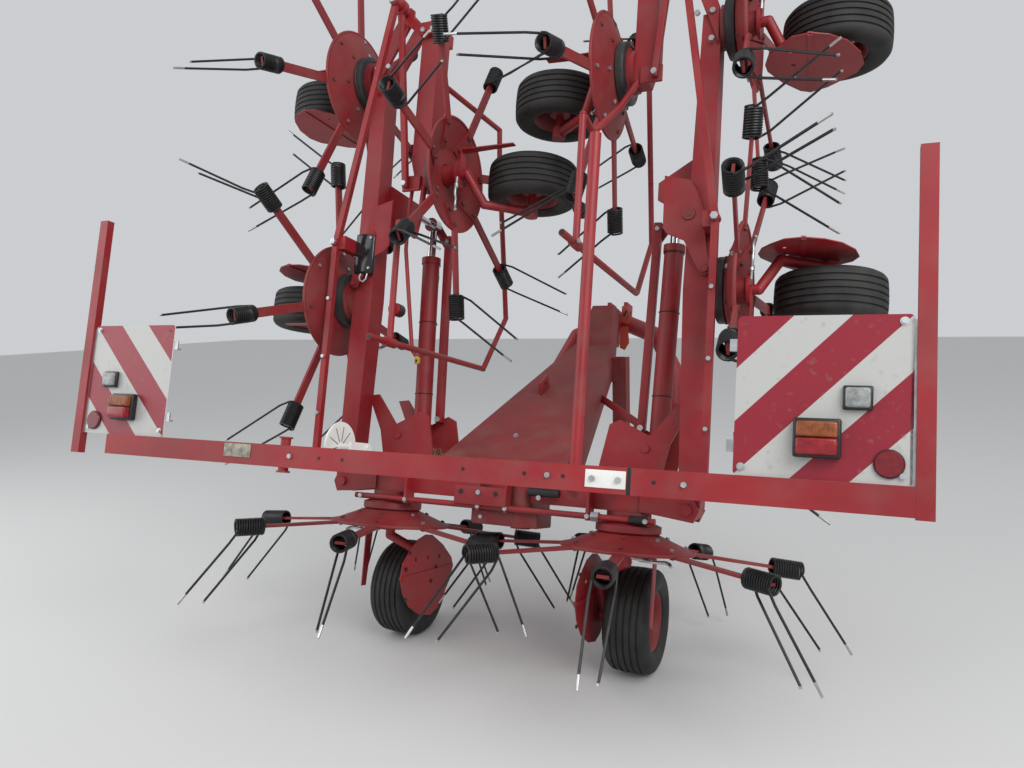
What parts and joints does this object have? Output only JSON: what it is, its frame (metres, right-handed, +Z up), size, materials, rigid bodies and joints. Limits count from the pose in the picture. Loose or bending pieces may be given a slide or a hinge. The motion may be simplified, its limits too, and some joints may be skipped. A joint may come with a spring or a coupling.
{
  "type": "hay tedder",
  "caption": "Rotary hay tedder for a three-point hitch, folded for the road: gooseneck frame, folding wings with tined rotors on small wheels, rear lighting beam with striped boards.",
  "frame": {"origin": "bottom centre of the machine's box, on the ground it stands on", "axes": "+X to the machine's right, +Y forward to the tractor, +Z up"},
  "size_m": [2.998, 2.6893, 3.372],
  "materials": {
    "frame_paint": "worn red paint",
    "gearbox": "painted casting",
    "tines": "spring steel, dusty",
    "tyre": "dusty rubber",
    "board": "reflective sheet",
    "lamp": "lens",
    "chrome": "ground and plated"
  },
  "bodies": {
    "root": {"main_beam": "frame_paint", "centre_gearboxes": "gearbox", "input_gearbox": "gearbox", "gooseneck": "frame_paint", "upright_tube": "frame_paint", "cylinder_feet": "frame_paint", "light_beam": "frame_paint", "beam_carriers": "frame_paint", "beam_posts": "frame_paint", "board_straps": "frame_paint", "warning_boards": "board", "lamps": "lamp", "turn_disc": "board", "centre_legs": "frame_paint"},
    "headstock": {"headstock": "frame_paint"},
    "stand": {"parking_stand": "frame_paint"},
    "wing_left": {"wing_arm_left": "frame_paint", "wing_gearboxes_left": "gearbox", "wing_legs_left": "frame_paint", "wing_guard_left": "frame_paint"},
    "outer_left": {"outer_arm_left": "frame_paint", "outer_leg_left": "frame_paint"},
    "barrel_left": {"fold_barrel_left": "frame_paint"},
    "rod_left": {"fold_rod_left": "chrome"},
    "spinner_left_1": {"rotor_left_1": "frame_paint", "tines_left_1": "tines"},
    "wheel_left_1": {"wheel_left_1": "tyre"},
    "spinner_left_2": {"rotor_left_2": "frame_paint", "tines_left_2": "tines"},
    "wheel_left_2": {"wheel_left_2": "tyre"},
    "spinner_left_3": {"rotor_left_3": "frame_paint", "tines_left_3": "tines"},
    "wheel_left_3": {"wheel_left_3": "tyre"},
    "spinner_left_4": {"rotor_left_4": "frame_paint", "tines_left_4": "tines"},
    "wheel_left_4": {"wheel_left_4": "tyre"},
    "wing_right": {"wing_arm_right": "frame_paint", "wing_gearboxes_right": "gearbox", "wing_legs_right": "frame_paint", "wing_guard_right": "frame_paint"},
    "outer_right": {"outer_arm_right": "frame_paint", "outer_leg_right": "frame_paint"},
    "barrel_right": {"fold_barrel_right": "frame_paint"},
    "rod_right": {"fold_rod_right": "chrome"},
    "spinner_right_1": {"rotor_right_1": "frame_paint", "tines_right_1": "tines"},
    "wheel_right_1": {"wheel_right_1": "tyre"},
    "spinner_right_2": {"rotor_right_2": "frame_paint", "tines_right_2": "tines"},
    "wheel_right_2": {"wheel_right_2": "tyre"},
    "spinner_right_3": {"rotor_right_3": "frame_paint", "tines_right_3": "tines"},
    "wheel_right_3": {"wheel_right_3": "tyre"},
    "spinner_right_4": {"rotor_right_4": "frame_paint", "tines_right_4": "tines"},
    "wheel_right_4": {"wheel_right_4": "tyre"}
  },
  "joints": [
    {"name": "headstock_swivel", "type": "hinge", "parent": "root", "child": "headstock", "pos_m": [0, 1.09954, 1.31755], "axis": [0, 0.225, 0.9744], "range_deg": [-15, 15]},
    {"name": "stand_slide", "type": "slide", "parent": "root", "child": "stand", "axis": [0, 0, 1], "range_m": [0, 0.3]},
    {"name": "wing_fold_left", "type": "hinge", "parent": "root", "child": "wing_left", "pos_m": [-0.76, -0.41982, 0.69333], "axis": [0, -0.9744, 0.225], "range_deg": [0, 90]},
    {"name": "outer_fold_left", "type": "hinge", "parent": "wing_left", "child": "outer_left", "pos_m": [-0.635, 0.069, 2.81063], "axis": [0, -0.9744, 0.225], "range_deg": [0, 180]},
    {"name": "cylinder_swing_left", "type": "hinge", "parent": "root", "child": "barrel_left", "pos_m": [-0.567, -0.117, 0.8492], "axis": [0, -0.9744, 0.225], "range_deg": [0, 91]},
    {"name": "cylinder_stroke_left", "type": "slide", "parent": "barrel_left", "child": "rod_left", "axis": [-0.0317, 0.2248, 0.9739], "range_m": [0, 0.4157]},
    {"name": "rotor_left_1", "type": "hinge", "parent": "root", "child": "spinner_left_1", "pos_m": [-0.53, -0.45694, 0.53256], "axis": [0, 0.225, 0.9744], "continuous": true},
    {"name": "wheel_left_1", "type": "hinge", "parent": "root", "child": "wheel_left_1", "pos_m": [-0.53, -0.3273, 0.205], "axis": [1, 0, 0], "continuous": true},
    {"name": "rotor_left_2", "type": "hinge", "parent": "wing_left", "child": "spinner_left_2", "pos_m": [-0.925, -0.23311, 1.50206], "axis": [1, 0, 0], "continuous": true},
    {"name": "wheel_left_2", "type": "hinge", "parent": "wing_left", "child": "wheel_left_2", "pos_m": [-1.215, -0.03824, 1.45707], "axis": [0, 0.225, 0.9744], "continuous": true},
    {"name": "rotor_left_3", "type": "hinge", "parent": "wing_left", "child": "spinner_left_3", "pos_m": [-0.925, 0.00534, 2.53489], "axis": [1, 0, 0], "continuous": true},
    {"name": "wheel_left_3", "type": "hinge", "parent": "wing_left", "child": "wheel_left_3", "pos_m": [-1.215, 0.20021, 2.4899], "axis": [0, 0.225, 0.9744], "continuous": true},
    {"name": "rotor_left_4", "type": "hinge", "parent": "outer_left", "child": "spinner_left_4", "pos_m": [-0.345, -0.10579, 2.05355], "axis": [-1, 0, 0], "continuous": true},
    {"name": "wheel_left_4", "type": "hinge", "parent": "outer_left", "child": "wheel_left_4", "pos_m": [-0.055, 0.08908, 2.00856], "axis": [0, 0.225, 0.9744], "continuous": true},
    {"name": "wing_fold_right", "type": "hinge", "parent": "root", "child": "wing_right", "pos_m": [0.76, -0.41982, 0.69333], "axis": [0, 0.9744, -0.225], "range_deg": [0, 90]},
    {"name": "outer_fold_right", "type": "hinge", "parent": "wing_right", "child": "outer_right", "pos_m": [0.635, 0.10949, 2.98602], "axis": [0, 0.9744, -0.225], "range_deg": [0, 180]},
    {"name": "cylinder_swing_right", "type": "hinge", "parent": "root", "child": "barrel_right", "pos_m": [0.567, -0.117, 0.8492], "axis": [0, 0.9744, -0.225], "range_deg": [0, 91]},
    {"name": "cylinder_stroke_right", "type": "slide", "parent": "barrel_right", "child": "rod_right", "axis": [0.0317, 0.2248, 0.9739], "range_m": [0, 0.4157]},
    {"name": "rotor_right_1", "type": "hinge", "parent": "root", "child": "spinner_right_1", "pos_m": [0.53, -0.45694, 0.53256], "axis": [0, 0.225, 0.9744], "continuous": true},
    {"name": "wheel_right_1", "type": "hinge", "parent": "root", "child": "wheel_right_1", "pos_m": [0.53, -0.3273, 0.205], "axis": [1, 0, 0], "continuous": true},
    {"name": "rotor_right_2", "type": "hinge", "parent": "wing_right", "child": "spinner_right_2", "pos_m": [0.925, -0.23311, 1.50206], "axis": [-1, 0, 0], "continuous": true},
    {"name": "wheel_right_2", "type": "hinge", "parent": "wing_right", "child": "wheel_right_2", "pos_m": [1.215, -0.03824, 1.45707], "axis": [0, 0.225, 0.9744], "continuous": true},
    {"name": "rotor_right_3", "type": "hinge", "parent": "wing_right", "child": "spinner_right_3", "pos_m": [0.925, 0.00534, 2.53489], "axis": [-1, 0, 0], "continuous": true},
    {"name": "wheel_right_3", "type": "hinge", "parent": "wing_right", "child": "wheel_right_3", "pos_m": [1.215, 0.20021, 2.4899], "axis": [0, 0.225, 0.9744], "continuous": true},
    {"name": "rotor_right_4", "type": "hinge", "parent": "outer_right", "child": "spinner_right_4", "pos_m": [0.345, -0.02481, 2.40432], "axis": [1, 0, 0], "continuous": true},
    {"name": "wheel_right_4", "type": "hinge", "parent": "outer_right", "child": "wheel_right_4", "pos_m": [0.055, 0.17007, 2.35933], "axis": [0, 0.225, 0.9744], "continuous": true}
  ],
  "couplings": [
    {"joint": "outer_fold_left", "follows": "wing_fold_right", "ratio": 2},
    {"joint": "wing_fold_left", "follows": "wing_fold_right", "ratio": 1},
    {"joint": "cylinder_swing_left", "follows": "wing_fold_right", "ratio": 1.0061},
    {"joint": "cylinder_stroke_left", "follows": "wing_fold_right", "m_per_rad": 0.26338},
    {"joint": "rotor_left_1", "follows": "rotor_right_1", "ratio": -1},
    {"joint": "rotor_left_2", "follows": "rotor_right_1", "ratio": 1},
    {"joint": "rotor_left_3", "follows": "rotor_right_1", "ratio": -1},
    {"joint": "rotor_left_4", "follows": "rotor_right_1", "ratio": 1},
    {"joint": "outer_fold_right", "follows": "wing_fold_right", "ratio": 2},
    {"joint": "cylinder_swing_right", "follows": "wing_fold_right", "ratio": 1.0061},
    {"joint": "cylinder_stroke_right", "follows": "wing_fold_right", "m_per_rad": 0.26338},
    {"joint": "rotor_right_2", "follows": "rotor_right_1", "ratio": -1},
    {"joint": "rotor_right_3", "follows": "rotor_right_1", "ratio": 1},
    {"joint": "rotor_right_4", "follows": "rotor_right_1", "ratio": -1}
  ]
}
